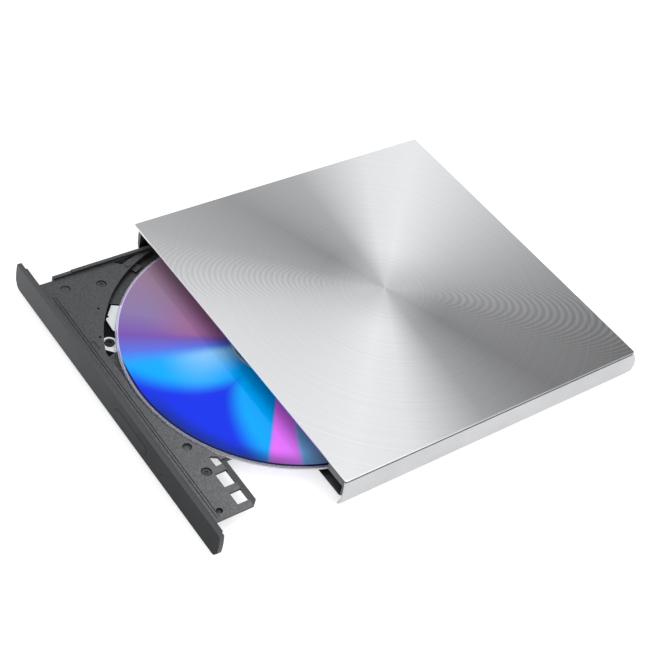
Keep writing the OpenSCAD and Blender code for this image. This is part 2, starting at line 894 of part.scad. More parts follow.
module turntable() {
    color(black) on_tray() translate([disc_x, 0, 0]) difference() {
        union() {
            translate([0, 0, metal_z + metal_t + 0.1]) cylinder(r = 0.7, h = 1);
            translate([0, 0, 4.9]) cylinder(r = 13, h = disc_z - 4.9);
            translate([0, 0, 5.5]) cylinder(r = hub_r, h = disc_z + disc_t - 5.5);
            translate([0, 0, 6.7]) cylinder(r = hub_r - 0.6, h = 0.5);
            translate([0, 0, 7.1]) cylinder(r = hub_r - 3, h = 0.3);
        }
        for (a = [0:120:240])
            rotate([0, 0, a]) translate([4.5, -1.2, 6.2]) cube([4, 2.4, 3]);
    }
}

module clamp_fingers() {
    color(silver) on_tray() translate([disc_x, 0, 0]) for (a = [0:120:240])
        rotate([0, 0, a]) {
            translate([4.6, -1.0, 6.2]) cube([2.5, 2.0, 0.9]);
            translate([7.0, -1.0, 6.85]) cube([0.8, 2.0, 0.25]);
        }
}

module disc() {
    color([0.35, 0.45, 0.95]) on_tray() translate([disc_x, 0, disc_z]) rotate_extrude($fn = 240) {
        polygon([
            [7.5, 0], [16.6, 0], [16.8, -0.1], [17.6, -0.1], [17.8, 0],
            [disc_d / 2 - 0.2, 0], [disc_d / 2, 0.2], [disc_d / 2, disc_t - 0.2],
            [disc_d / 2 - 0.2, disc_t], [7.5, disc_t]
        ]);
    }
}

// ---------- nodes ----------

top_plate();
plate_carrier();
lower_shell();
mouth_frame();
rubber_feet();
case_screws();
drive_base();
drive_cover();
drive_screws();
left_guide();
right_guide();
catch_post();
insulating_sheet();
main_board();
controller_chip();
bridge_chip();
board_parts();
flex_connector();
flex_cable();
usb_port();
usb_tongue();
ejector_housing();
ejector_spring();
ejector_pin();
left_rail();
right_rail();
tray_bezel();
tray_frame();
tray_screws();
tray_shield();
traverse_plate();
damper_bracket();
damper_grommets();
spindle_motor();
front_guide_rod();
rear_guide_rod();
sled_motor();
rod_clamps();
tray_board();
eject_switch();
solenoid();
latch_lever();
eject_button();
lead_screw();
pickup_carriage();
objective_lens();
lens_surround();
turntable();
clamp_fingers();
disc();
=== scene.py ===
import json
import math

import bmesh
import bpy
from mathutils import Matrix, Vector


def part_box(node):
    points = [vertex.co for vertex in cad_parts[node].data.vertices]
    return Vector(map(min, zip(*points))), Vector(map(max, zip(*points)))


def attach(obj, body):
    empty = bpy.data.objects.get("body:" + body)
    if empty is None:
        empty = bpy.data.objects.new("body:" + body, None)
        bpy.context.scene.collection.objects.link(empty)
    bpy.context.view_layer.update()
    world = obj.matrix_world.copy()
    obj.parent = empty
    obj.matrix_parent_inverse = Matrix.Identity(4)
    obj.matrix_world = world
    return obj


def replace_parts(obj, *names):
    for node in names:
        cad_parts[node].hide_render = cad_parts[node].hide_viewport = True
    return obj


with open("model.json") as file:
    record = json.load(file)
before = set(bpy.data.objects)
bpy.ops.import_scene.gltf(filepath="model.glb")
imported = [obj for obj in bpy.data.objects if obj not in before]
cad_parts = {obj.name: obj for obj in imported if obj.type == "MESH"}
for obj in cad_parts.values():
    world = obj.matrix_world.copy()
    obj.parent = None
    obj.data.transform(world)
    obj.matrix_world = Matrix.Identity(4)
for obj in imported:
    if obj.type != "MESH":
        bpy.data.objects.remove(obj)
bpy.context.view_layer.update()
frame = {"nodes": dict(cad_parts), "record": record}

MM = 0.001
plate_low, plate_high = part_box("top_plate")
plate_centre = (plate_low + plate_high) / 2
disc_low, disc_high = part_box("disc")
disc_centre = (disc_low + disc_high) / 2
disc_radius = (disc_high.x - disc_low.x) / 2


# ---------- node helpers ----------

class Finish:
    """A procedural material: small helpers round its node tree."""

    def __init__(self, name):
        self.material = bpy.data.materials.new(name)
        self.material.use_nodes = True
        self.tree = self.material.node_tree
        self.bsdf = self.tree.nodes["Principled BSDF"]
        self.place = self.add("ShaderNodeTexCoord").outputs["Object"]

    def add(self, kind, props=None, **inputs):
        node = self.tree.nodes.new(kind)
        for key, value in (props or {}).items():
            setattr(node, key, value)
        for key, value in inputs.items():
            self.put(node, key.replace("_", " "), value)
        return node

    def put(self, node, key, value):
        """Links a socket, or sets a plain value on it."""
        socket = node.inputs[int(key)] if key.isdigit() else node.inputs[key]
        if isinstance(value, bpy.types.NodeSocket):
            self.tree.links.new(value, socket)
        else:
            socket.default_value = value

    def set(self, **inputs):
        for key, value in inputs.items():
            self.put(self.bsdf, key.replace("_", " "), value)

    def math(self, operation, a, b=0.0):
        node = self.add("ShaderNodeMath", {"operation": operation})
        self.put(node, "0", a)
        self.put(node, "1", b)
        return node.outputs[0]

    def plus(self, a, b):
        return self.math("ADD", a, b)

    def minus(self, a, b):
        return self.math("SUBTRACT", a, b)

    def times(self, a, b):
        return self.math("MULTIPLY", a, b)

    def largest(self, a, b):
        return self.math("MAXIMUM", a, b)

    def spread(self, value, low, high, to_low=0.0, to_high=1.0):
        """value from low..high mapped smoothly to to_low..to_high."""
        node = self.add("ShaderNodeMapRange", {"interpolation_type": "SMOOTHSTEP"})
        for key, item in zip(("Value", "From Min", "From Max", "To Min", "To Max"),
                             (value, low, high, to_low, to_high)):
            self.put(node, key, item)
        return node.outputs["Result"]

    def blend(self, factor, a, b, kind="MIX"):
        node = self.add("ShaderNodeMix", {"data_type": "RGBA", "blend_type": kind})
        self.put(node, "0", factor)
        self.put(node, "6", a)
        self.put(node, "7", b)
        return node.outputs[2]

    def noise(self, scale, detail=2.0, roughness=0.5):
        node = self.add("ShaderNodeTexNoise", Vector=self.place, Scale=scale, Detail=detail,
                        Roughness=roughness)
        return node.outputs["Fac"]

    def lines(self, value, scale, detail):
        """Noise along one value only, for grooves and rings."""
        node = self.add("ShaderNodeTexNoise", {"noise_dimensions": "1D"}, W=value, Scale=scale,
                        Detail=detail)
        return node.outputs["Fac"]

    def ramp(self, factor, stops):
        node = self.add("ShaderNodeValToRGB", Fac=factor)
        band = node.color_ramp
        while len(band.elements) < len(stops):
            band.elements.new(0.5)
        for element, (position, colour) in zip(band.elements, stops):
            element.position = position
            element.color = shade(colour)
        return node.outputs["Color"]

    def axes(self, centre=(0, 0, 0)):
        """X, Y and Z measured from centre."""
        shifted = self.add("ShaderNodeVectorMath", {"operation": "SUBTRACT"})
        self.put(shifted, "0", self.place)
        self.put(shifted, "1", centre)
        return self.add("ShaderNodeSeparateXYZ", Vector=shifted.outputs[0]).outputs

    def polar(self, centre):
        """(radius, angle as 0..1 with 0.5 along +X) round an upright axis through centre."""
        x, y, _ = self.axes((centre.x, centre.y, 0))
        radius = self.math("SQRT", self.plus(self.times(x, x), self.times(y, y)))
        turn = self.math("ARCTAN2", y, x)
        return radius, self.plus(self.times(turn, 0.5 / math.pi), 0.5)

    def facing(self):
        """The way the surface faces, as X, Y and Z of its normal."""
        normal = self.add("ShaderNodeNewGeometry").outputs["Normal"]
        return self.add("ShaderNodeSeparateXYZ", Vector=normal).outputs

    def rounded(self, radius):
        return self.add("ShaderNodeBevel", {"samples": 4}, Radius=radius).outputs["Normal"]

    def wear(self, radius):
        """1 on an edge, 0 on a flat face."""
        true = self.add("ShaderNodeNewGeometry").outputs["Normal"]
        dot = self.add("ShaderNodeVectorMath", {"operation": "DOT_PRODUCT"})
        self.put(dot, "0", self.rounded(radius))
        self.put(dot, "1", true)
        return self.spread(dot.outputs["Value"], 0.75, 0.995, 1.0, 0.0)

    def worn(self, colour, radius, share, bare):
        """colour with a share of a bare tone along its edges."""
        return self.blend(self.times(self.wear(radius), share), colour, shade(bare))

    def tint(self, colour, level):
        """colour multiplied by a grey level."""
        grey = self.add("ShaderNodeCombineColor", Red=level, Green=level, Blue=level).outputs[0]
        return self.blend(1.0, colour, grey, "MULTIPLY")

    def painted_recess_shade(self, reach, darkest):
        """Painted shade: darkest deep in a gap or recess, 1 in the open."""
        node = self.add("ShaderNodeAmbientOcclusion", {"samples": 6}, Distance=reach)
        return self.spread(node.outputs["AO"], 0.35, 0.95, darkest, 1.0)

    def bump(self, height, distance, strength, normal):
        node = self.add("ShaderNodeBump", Strength=strength, Distance=distance, Height=height,
                        Normal=normal)
        return node.outputs["Normal"]

    def specular(self, level):
        self.put(self.bsdf, "Specular IOR Level", level)


def shade(colour):
    """Grey level or RGB to RGBA, linear."""
    if isinstance(colour, (int, float)):
        colour = (colour, colour, colour)
    return (*colour, 1.0)


# ---------- spun plate ----------

# Directions on the plate as shares of a turn, counted from -X.
FAN_AXIS = 0.875
LEAN_AXIS = 0.14
# Directions of the front and back fields of arcs, as angles from +X.
FIELD_ANGLES = (math.radians(239), math.radians(54))
# Grey of the painted highlight fans over half a turn.
PAINTED_FAN_STOPS = (
    (0, 0.84), (0.08, 0.79), (0.22, 0.40), (0.37, 0.26), (0.50, 0.30), (0.75, 0.58), (1, 0.84),
)
PAINTED_LEAN_RATE = 5.0  # per metre: painted light and shade, one side of the plate lightens and the other deepens outwards
RING_DEPTH = 0.20
PAINTED_ARC_CONTRAST = 0.09
# Arcs per metre along the back field and the front one, and how closely they curve.
ARCS_BACK, ARCS_FRONT = 330, 470
ARC_CURVE = 3000
HUB_GLOW = 26 * MM
HUB_TONE = 0.56
PLATE_EDGE_HIGHLIGHT = 0.88


def painted_highlight_fans(m, radius, turn):
    """Painted highlights: two bright fans and two dark ones, fading to one tone at the middle."""
    half_turn = m.math("FRACT", m.times(m.minus(turn, FAN_AXIS), 2))
    fans = m.ramp(half_turn, PAINTED_FAN_STOPS)
    return m.blend(m.spread(radius, 0.0, HUB_GLOW, 0.75, 0.0), fans, shade(HUB_TONE))


def painted_side_lean(m, radius, turn):
    """Painted light and shade: a squared cosine that keeps its sign and grows with the radius."""
    lean = m.math("COSINE", m.times(m.minus(turn, LEAN_AXIS), 2 * math.pi))
    return m.times(m.times(lean, m.math("ABSOLUTE", lean)), m.times(radius, PAINTED_LEAN_RATE))


def painted_moire_arcs(m, radius):
    """Painted light and dark arcs, like a moire of the fine rings' reflections, in two narrow fields.
    """
    x, y, _ = m.axes((plate_centre.x, plate_centre.y, 0))
    front, back = (m.plus(m.times(x, math.cos(angle)), m.times(y, math.sin(angle)))
                   for angle in FIELD_ANGLES)
    along = m.largest(front, back)
    count = m.spread(front, -2 * MM, 2 * MM, ARCS_BACK, ARCS_FRONT)
    phase = m.plus(m.times(m.minus(radius, along), ARC_CURVE), m.times(along, count))
    wave = m.math("SINE", m.times(phase, 2 * math.pi))
    off = m.minus(m.math("DIVIDE", radius, m.largest(along, 1e-5)), 1.0)
    near = m.spread(off, 0.0, 0.06, 1.0, 0.0)
    outside = m.spread(radius, 14 * MM, 30 * MM)
    return m.times(m.times(near, outside), wave)


def painted_edge_highlights(m):
    """Painted highlight: 1 on the plate's sides, less on the right one, and faint along its edges."""
    facing = m.facing()
    # painted highlight on the upright sides, weaker on the right side
    side = m.times(m.spread(facing["Z"], 0.75, 0.97, 1.0, 0.0),
                   m.spread(facing["X"], 0.2, 0.6, 1.0, 0.3))
    return m.largest(side, m.times(m.wear(0.25 * MM), 0.12))


def spun_aluminium():
    """Plate turned on its own centre: fine rings, with painted highlights and shade: bright and dark
    fans, faint crossing arcs, a lean from light to dark and lit sides.
    """
    m = Finish("spun_aluminium")
    radius, turn = m.polar(plate_centre)
    rings = m.plus(m.times(m.lines(radius, 900, 3), 0.6), m.times(m.lines(radius, 3500, 1), 0.4))
    # the ring grain, with the painted arcs and the painted lean of light and shade
    level = m.plus(m.plus(1.0, m.times(m.minus(rings, 0.5), RING_DEPTH)),
                   m.plus(m.times(painted_moire_arcs(m, radius), PAINTED_ARC_CONTRAST), painted_side_lean(m, radius, turn)))
    # painted highlight fans, tinted by the ring grain and the painted light and shade
    colour = m.tint(painted_highlight_fans(m, radius, turn), level)
    # painted highlight on the plate's sides and edges
    m.set(Base_Color=m.blend(painted_edge_highlights(m), colour, shade(PLATE_EDGE_HIGHLIGHT)), Metallic=1.0,
          Roughness=m.plus(0.30, m.times(rings, 0.12)), Anisotropic=0.7,
          Tangent=m.add("ShaderNodeTangent", {"direction_type": "RADIAL", "axis": "Z"}).outputs[0],
          Normal=m.bump(rings, 0.012 * MM, 0.6, m.rounded(0.12 * MM)))
    return m.material


# ---------- metals ----------

BLASTED_DARK = (0.50, 0.50, 0.51)
BLASTED_LIGHT = (0.535, 0.535, 0.545)


def blasted_aluminium():
    """Bead-blasted shell: a fine grain with slow clouds."""
    m = Finish("blasted_aluminium")
    grain = m.noise(6500, 3)
    cloud = m.noise(45, 3)
    colour = m.blend(m.spread(cloud, 0.3, 0.7), shade(BLASTED_DARK), shade(BLASTED_LIGHT))
    m.set(Base_Color=m.worn(colour, 0.25 * MM, 0.5, 0.85), Metallic=0.85,
          Roughness=m.plus(0.38, m.times(grain, 0.14)),
          Normal=m.bump(grain, 0.02 * MM, 0.5, m.rounded(0.25 * MM)))
    return m.material


def sheet_metal(name, tone, roughness=0.34, across=0, brushed=5200):
    """Rolled or ground metal with fine lines along one axis."""
    m = Finish(name)
    line = m.lines(m.axes()[across], brushed, 3)
    cloud = m.noise(60, 4, 0.6)
    level = m.plus(0.86, m.plus(m.times(line, 0.14), m.times(cloud, 0.14)))
    m.set(Base_Color=m.tint(shade(tone), level), Metallic=1.0,
          Roughness=m.plus(roughness - 0.05, m.times(cloud, 0.16)),
          Normal=m.bump(line, 0.006 * MM, 0.6, m.rounded(0.1 * MM)))
    return m.material


# ---------- plastics and rubber ----------

PALE_EDGE = 0.45
EDGE_RADIUS = 0.2 * MM
# how far painted shade reaches into recesses
RECESS_REACH = 1.6 * MM
PANEL_TOP = (0.070, 0.071, 0.073)
# darkest tone of the painted shade on the front face, at its right end
PANEL_RIGHT_END_SHADE = (0.005, 0.006, 0.008)
# deck tones at the shaded left and the lit right of its painted light, and the tone of its painted
# glints
DECK_SHADED_LEFT = (0.056, 0.057, 0.059)
DECK_LIT_RIGHT = (0.125, 0.126, 0.130)
DECK_PAINTED_GLINT = 0.26
FRAME_GREY = (0.15, 0.152, 0.156)
MOUTH_SHADE_REACH = 7 * MM  # how far into the mouth painted shade turns the frame black


def moulded(name, dark, light, roughness, grain_scale=3200, depth=0.02, gloss=0.45):
    """Moulded plastic with a fine grain, slow tone changes, paler edges and painted shade in its
    recesses.
    """
    m = Finish(name)
    grain = m.noise(grain_scale, 3, 0.6)
    cloud = m.noise(70, 3)
    colour = m.blend(m.spread(cloud, 0.3, 0.7), shade(dark), shade(light))
    colour = m.tint(colour, m.spread(grain, 0.35, 0.75, 0.82, 1.22))
    colour = m.worn(colour, EDGE_RADIUS, 0.18, PALE_EDGE)
    # painted shade in gaps and recesses
    colour = m.tint(colour, m.painted_recess_shade(RECESS_REACH, 0.25))
    m.set(Base_Color=colour, Roughness=m.plus(roughness, m.times(cloud, 0.12)),
          Normal=m.bump(grain, depth * MM, 0.7, m.rounded(0.15 * MM)))
    m.specular(gloss)
    return m.material


def bezel_plastic():
    """Panel plastic with painted shade: its upright front face darkens towards its right end, and its
    gaps darken.
    """
    m = Finish("bezel_plastic")
    grain = m.noise(3200, 3, 0.6)
    cloud = m.noise(70, 3)
    x, _, _ = m.axes()
    # painted shade: the front face darkens towards its right end
    front = m.spread(m.facing()["Y"], -0.9, -0.3, 1.0, 0.0)
    painted_front_shade = m.times(front, m.spread(x, plate_low.x, plate_high.x * 0.6, 0.1, 1.0))
    colour = m.blend(painted_front_shade, shade(PANEL_TOP), shade(PANEL_RIGHT_END_SHADE))
    colour = m.tint(colour, m.spread(grain, 0.35, 0.75, 0.85, 1.18))
    colour = m.worn(colour, EDGE_RADIUS, 0.12, 0.4)
    # painted shade in gaps
    colour = m.tint(colour, m.painted_recess_shade(0.5 * MM, 0.10))
    m.set(Base_Color=colour, Roughness=m.plus(0.40, m.times(cloud, 0.12)),
          Normal=m.bump(grain, 0.02 * MM, 0.6, m.rounded(EDGE_RADIUS)))
    m.specular(0.12)
    return m.material


def tray_plastic():
    """Spark-eroded deck: a coarse grain, with painted light that brightens it towards the right,
    painted glints, and painted shade on slopes facing +Y, on upright faces and in recesses.
    """
    m = Finish("tray_plastic")
    grain = m.noise(1500, 3, 0.65)
    # painted glints on specks of the grain
    painted_glint = m.times(m.spread(m.noise(2600, 2), 0.62, 0.74), 0.5)
    x, _, _ = m.axes()
    facing = m.facing()
    # painted light, brighter towards the right
    painted_light = m.spread(x, -50 * MM, 70 * MM)
    # painted shade on faces tilted towards +Y
    painted_slope_shade = m.spread(facing["Y"], 0.10, 0.24, 1.0, 0.5)
    # painted shade on upright faces
    painted_upright_shade = m.spread(m.math("ABSOLUTE", facing["Z"]), 0.3, 0.6, 0.5, 1.0)
    colour = m.blend(painted_light, shade(DECK_SHADED_LEFT), shade(DECK_LIT_RIGHT))
    for level in (m.spread(grain, 0.30, 0.72, 0.74, 1.28), painted_slope_shade, painted_upright_shade):
        colour = m.tint(colour, level)
    # painted glints, stronger where the painted light is
    colour = m.blend(m.times(painted_glint, painted_light), colour, shade(DECK_PAINTED_GLINT))
    colour = m.worn(colour, EDGE_RADIUS, 0.22, PALE_EDGE)
    # painted shade in recesses
    colour = m.tint(colour, m.painted_recess_shade(RECESS_REACH, 0.18))
    m.set(Base_Color=colour, Roughness=m.plus(0.42, m.times(grain, 0.12)),
          Normal=m.bump(grain, 0.06 * MM, 0.7, m.rounded(0.15 * MM)))
    m.specular(0.3)
    return m.material


def frame_plastic():
    """Mouth frame: mid grey on its face, turned black inside the opening by painted shade."""
    m = Finish("frame_plastic")
    grain = m.noise(2600, 3, 0.6)
    colour = m.tint(shade(FRAME_GREY), m.spread(grain, 0.35, 0.75, 0.85, 1.18))
    # painted shade that blackens the frame inside the mouth
    colour = m.tint(colour, m.painted_recess_shade(MOUTH_SHADE_REACH, 0.02))
    m.set(Base_Color=colour, Roughness=m.plus(0.42, m.times(grain, 0.1)),
          Normal=m.bump(grain, 0.03 * MM, 0.6, m.rounded(0.15 * MM)))
    m.specular(0.08)
    return m.material


def rubber(name, tone):
    """Dull rubber with a coarse grain."""
    m = Finish(name)
    grain = m.noise(2400, 4, 0.65)
    m.set(Base_Color=m.blend(m.spread(grain, 0.3, 0.7), shade(tone), shade(tone * 1.7)),
          Roughness=m.plus(0.62, m.times(grain, 0.2)),
          Normal=m.bump(grain, 0.03 * MM, 0.6, m.rounded(0.2 * MM)))
    return m.material


# ---------- electronics and lens ----------

BOARD_GREEN = (0.012, 0.085, 0.045)
TRACK_GREEN = (0.03, 0.17, 0.085)
COPPER = (0.42, 0.22, 0.05)
POLYIMIDE = (0.72, 0.44, 0.14)


def circuit_board():
    """Solder mask with faint tracks."""
    m = Finish("circuit_board")
    cells = m.add("ShaderNodeTexVoronoi", {"feature": "DISTANCE_TO_EDGE", "distance": "EUCLIDEAN"},
                  Vector=m.place, Scale=520.0)
    track = m.spread(cells.outputs["Distance"], 0.02, 0.06, 1.0, 0.0)
    m.set(Base_Color=m.blend(track, shade(BOARD_GREEN), shade(TRACK_GREEN)), Roughness=0.32,
          Normal=m.bump(track, 0.02 * MM, 0.5, m.rounded(0.1 * MM)))
    return m.material


def ribbon():
    """Polyimide ribbon with slanting copper lines."""
    m = Finish("ribbon")
    x, y, _ = m.axes()
    stripe = m.math("SINE", m.times(m.plus(x, y), 9000))
    m.set(Base_Color=m.blend(m.spread(stripe, -0.4, 0.4), shade(COPPER), shade(POLYIMIDE)),
          Roughness=m.plus(0.25, m.times(m.noise(300), 0.15)), Metallic=0.35,
          Normal=m.rounded(0.05 * MM))
    return m.material


LENS_FROM_SPINDLE = 24 * MM
LENS_RADIUS = 2.1 * MM
LENS_STOPS = (
    (0.0, (0.10, 0.16, 0.42)), (0.5, (0.22, 0.30, 0.62)), (0.85, (0.5, 0.45, 0.75)),
    (1.0, (0.7, 0.7, 0.75)),
)


def lens():
    """Coated lens, bluer towards its middle."""
    m = Finish("lens")
    radius, _ = m.polar(disc_centre + Vector((0, LENS_FROM_SPINDLE, 0)))
    m.set(Base_Color=m.ramp(m.math("DIVIDE", radius, LENS_RADIUS), LENS_STOPS),
          Roughness=m.times(m.noise(500), 0.08), Coat_Weight=1.0, Metallic=0.5)
    return m.material


# ---------- disc ----------

# Painted reflection: rainbow colours thrown back by the disc's grooves, over half a turn, counted
# from +X.
PAINTED_RAINBOW_STOPS = (
    (0.0, (0.36, 0.17, 0.43)), (0.13, (0.30, 0.18, 0.25)), (0.27, (0.23, 0.17, 0.35)),
    (0.34, (0.17, 0.08, 0.38)), (0.40, (0.08, 0.17, 0.74)), (0.79, (0.0, 0.30, 0.80)),
    (0.80, (0.76, 0.15, 0.90)), (0.85, (0.70, 0.18, 0.90)), (0.86, (0.15, 0.38, 0.68)),
    (1.0, (0.36, 0.17, 0.43)),
)
# Middle of the blue wedge, as a share of the half turn, and how fast it widens with the radius.
BLUE_AXIS = 0.62
BLUE_START = 0.52
BLUE_WIDENING = 0.33
DEEP_BLUE = (0.005, 0.03, 0.72)
AZURE = (0.0, 0.36, 0.90)
PALE_BLUE = (0.40, 0.66, 0.84)
RIM_SHADE = (0.004, 0.02, 0.06)
ROSE = (0.36, 0.13, 0.26)
PALE_LINE_HIGHLIGHT = (0.48, 0.52, 0.80)
DARK_LINE_SHADE = (0.006, 0.006, 0.05)
MIRROR_GREY = (0.55, 0.56, 0.60)
CLEAR_TINT = (0.91, 0.91, 0.97)
# Radii as shares of the disc's own.
HUB = (0.29, 0.30)
MIRROR = (0.302, 0.308)
RIM = (0.985, 0.989)


def blue_wedge(m, colour, share, half_turn):
    """Painted reflection: deep blue wedge with azure sides, paler towards the hub."""
    off_axis = m.math("ABSOLUTE", m.minus(half_turn, BLUE_AXIS))
    edge = m.minus(off_axis, m.times(m.minus(share, BLUE_START), BLUE_WIDENING))
    blue = m.blend(m.spread(edge, -0.02, 0.06), shade(DEEP_BLUE), shade(AZURE))
    pale = m.times(m.spread(share, 0.45, 0.80, 1.0, 0.0), m.spread(half_turn, 0.40, 0.60, 1.0, 0.0))
    blue = m.blend(m.times(pale, 0.6), blue, shade(PALE_BLUE))
    wedge = m.times(m.spread(half_turn, 0.38, 0.44), m.spread(half_turn, 0.785, 0.795, 1.0, 0.0))
    return m.blend(wedge, colour, blue)


def darker_rim(m, colour, share, half_turn):
    """Painted reflection darkened near the rim, over the blue side only."""
    blue_side = m.times(m.spread(half_turn, 0.48, 0.58), m.spread(half_turn, 0.80, 0.98, 1.0, 0.0))
    late = m.times(blue_side, m.spread(share, 0.86, 0.97))
    return m.blend(m.times(late, 0.65), colour, shade(RIM_SHADE))


def rosy_inside(m, colour, share, half_turn):
    """Painted reflection: rose tone towards the hub, on the side away from the blue."""
    inward = m.times(m.spread(share, 0.50, 0.85, 1.0, 0.0), m.spread(half_turn, 0.31, 0.36, 0.7, 0.0))
    return m.blend(m.times(inward, m.spread(half_turn, 0.0, 0.12)), colour, shade(ROSE))


def rim_line(m, colour, share, half_turn):
    """Thin line where the recorded layer ends: a painted highlight on one side, painted shade near
    black on the blue one.
    """
    start = m.minus(share, m.spread(half_turn, 0.38, 0.48, 0.981, 0.970))
    line = m.times(m.spread(start, 0.0, 0.003), m.spread(share, *RIM, 1.0, 0.0))
    tone = m.blend(m.spread(half_turn, 0.36, 0.44), shade(PALE_LINE_HIGHLIGHT), shade(DARK_LINE_SHADE))
    return m.blend(line, colour, tone)


def disc_colours(m, share, half_turn):
    """The recorded layer's painted reflection colours, with its mirror band towards the hub."""
    colour = blue_wedge(m, m.ramp(half_turn, PAINTED_RAINBOW_STOPS), share, half_turn)
    colour = darker_rim(m, colour, share, half_turn)
    colour = m.blend(m.spread(share, *MIRROR, 1.0, 0.0), colour, shade(MIRROR_GREY))
    colour = rosy_inside(m, colour, share, half_turn)
    return rim_line(m, colour, share, half_turn)


def disc_painted_rainbow():
    """Recorded side of the disc: painted reflection of colours of the spectrum that turn with angle
    and differ from rim to hub, with a mirror band, and a clear rim and hub with no recorded layer."""
    m = Finish("disc_painted_rainbow")
    radius, turn = m.polar(disc_centre)
    share = m.math("DIVIDE", radius, disc_radius)
    sway = m.times(m.minus(m.noise(28, 1), 0.5), 0.012)
    turn = m.math("FRACT", m.plus(m.plus(turn, sway), 0.5))
    half_turn = m.math("FRACT", m.times(turn, 2))
    facing_up = m.facing()["Z"]
    under = m.times(m.spread(facing_up, -0.6, -0.4, 1.0, 0.0), m.spread(share, 0.90, 0.91))
    bare = m.largest(m.largest(m.spread(share, *RIM), under), m.spread(share, *HUB, 1.0, 0.0))
    upright = m.spread(m.math("ABSOLUTE", facing_up), 0.3, 0.6, 1.0, 0.0)
    clear = m.times(bare, m.minus(0.82, m.times(upright, 0.42)))
    colour = m.blend(bare, disc_colours(m, share, half_turn), shade(CLEAR_TINT))
    grooves = m.lines(radius, 5200, 1)
    m.set(Base_Color=colour, Metallic=m.times(m.minus(1.0, clear), 0.08), Transmission_Weight=clear,
          IOR=1.5, Roughness=m.plus(0.07, m.times(grooves, 0.03)), Coat_Weight=0.03,
          Coat_Roughness=0.03)
    m.specular(0.12)
    return m.material


FINISHES = {
    "plate_aluminium": spun_aluminium,
    "case_aluminium": blasted_aluminium,
    "carrier_plastic": lambda: moulded("carrier_plastic", 0.010, 0.016, 0.5),
    "dark_plastic": bezel_plastic,
    "frame_plastic": frame_plastic,
    "tray_plastic": tray_plastic,
    "guide_plastic": lambda: moulded("guide_plastic", 0.02, 0.03, 0.45),
    "carriage_plastic": lambda: moulded("carriage_plastic", 0.03, 0.045, 0.4),
    "foot_rubber": lambda: rubber("foot_rubber", 0.012),
    "damper_rubber": lambda: rubber("damper_rubber", 0.006),
    "sheet_steel": lambda: sheet_metal("sheet_steel", (0.55, 0.56, 0.57), 0.36),
    "bright_metal": lambda: sheet_metal("bright_metal", (0.74, 0.75, 0.76), 0.30, 1),
    "ground_steel": lambda: sheet_metal("ground_steel", (0.66, 0.67, 0.68), 0.16, 1, 9000),
    "screw_steel": lambda: sheet_metal("screw_steel", (0.5, 0.5, 0.51), 0.3),
    "black_screw": lambda: sheet_metal("black_screw", (0.085, 0.086, 0.09), 0.35),
    # Near black, as painted shade standing in for the dark inside of the drive.
    "shield_black": lambda: moulded("shield_black", 0.002, 0.004, 0.55, gloss=0.1),
    "board": circuit_board,
    "chip_black": lambda: moulded("chip_black", 0.008, 0.012, 0.42, 5000, 0.01),
    "part_tan": lambda: moulded("part_tan", (0.36, 0.25, 0.14), (0.5, 0.38, 0.24), 0.45),
    "connector_cream": lambda: moulded("connector_cream", (0.66, 0.60, 0.48), (0.74, 0.70, 0.58),
                                       0.4),
    "ribbon": ribbon,
    "lens_glass": lens,
    "disc_surface": disc_painted_rainbow,
}


def dress_nodes():
    made = {}
    for part in frame["record"]["subparts"]:
        slot = part["material_slot"]
        if slot not in made:
            made[slot] = FINISHES[slot]()
        data = frame["nodes"][part["node"]].data
        data.materials.clear()
        data.materials.append(made[slot])
    return made


# ---------- detailed pieces ----------

PLATE_CORNER = 0.8 * MM
DISC_SIDES = 256
# Radii on the disc, in millimetres, from its hole outwards.
HOLE = 7.5
UNDER_RIDGE = (16.6, 16.8, 17.6, 17.8)
CLAMP_GROOVE = (16.7, 17.0, 17.6, 17.9)
STACK_GROOVE = (22.1, 22.2, 22.5, 22.6)


def new_object(name, bm, material):
    """Turns bm into an object in the scene and frees it."""
    mesh = bpy.data.meshes.new(name)
    bm.to_mesh(mesh)
    bm.free()
    mesh.materials.append(material)
    made = bpy.data.objects.new(name, mesh)
    bpy.context.scene.collection.objects.link(made)
    return made


def mesh_piece(name, body, bm, material):
    bmesh.ops.recalc_face_normals(bm, faces=bm.faces)
    piece = new_object(name, bm, material)
    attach(piece, body)
    return piece


def loft(bm, loops):
    """Joins loops of points, each the same length, into a skin with open ends."""
    rings = [[bm.verts.new(p) for p in loop] for loop in loops]
    for a, b in zip(rings, rings[1:]):
        bridge(bm, a, b)
    return rings


def bridge(bm, a, b):
    """A band of faces between two rings of points."""
    for i in range(len(a)):
        j = (i + 1) % len(a)
        bm.faces.new((a[i], a[j], b[j], b[i]))


def round_outline(half_x, half_y, radius, z, steps=6):
    points = []
    for k, (sx, sy) in enumerate(((1, 1), (-1, 1), (-1, -1), (1, -1))):
        for i in range(steps + 1):
            angle = math.pi / 2 * (k + i / steps)
            points.append((sx * (half_x - radius) + radius * math.cos(angle),
                           sy * (half_y - radius) + radius * math.sin(angle), z))
    return points


def chamfered_plate(material):
    """Top plate with a cut chamfer round its upper edge and a softened lower one."""
    half_x = (plate_high.x - plate_low.x) / 2
    half_y = (plate_high.y - plate_low.y) / 2
    profile = (
        (0.12, plate_low.z), (0.0, plate_low.z + 0.12 * MM), (0.0, plate_high.z - 0.22 * MM),
        (0.04, plate_high.z - 0.16 * MM), (0.18, plate_high.z - 0.02 * MM), (0.24, plate_high.z),
    )
    bm = bmesh.new()
    rings = loft(bm, [round_outline(half_x - inset * MM, half_y - inset * MM, PLATE_CORNER, z)
                      for inset, z in profile])
    bm.faces.new(rings[0])
    bm.faces.new(list(reversed(rings[-1])))
    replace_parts(mesh_piece("plate_chamfered", "case", bm, material), "top_plate")


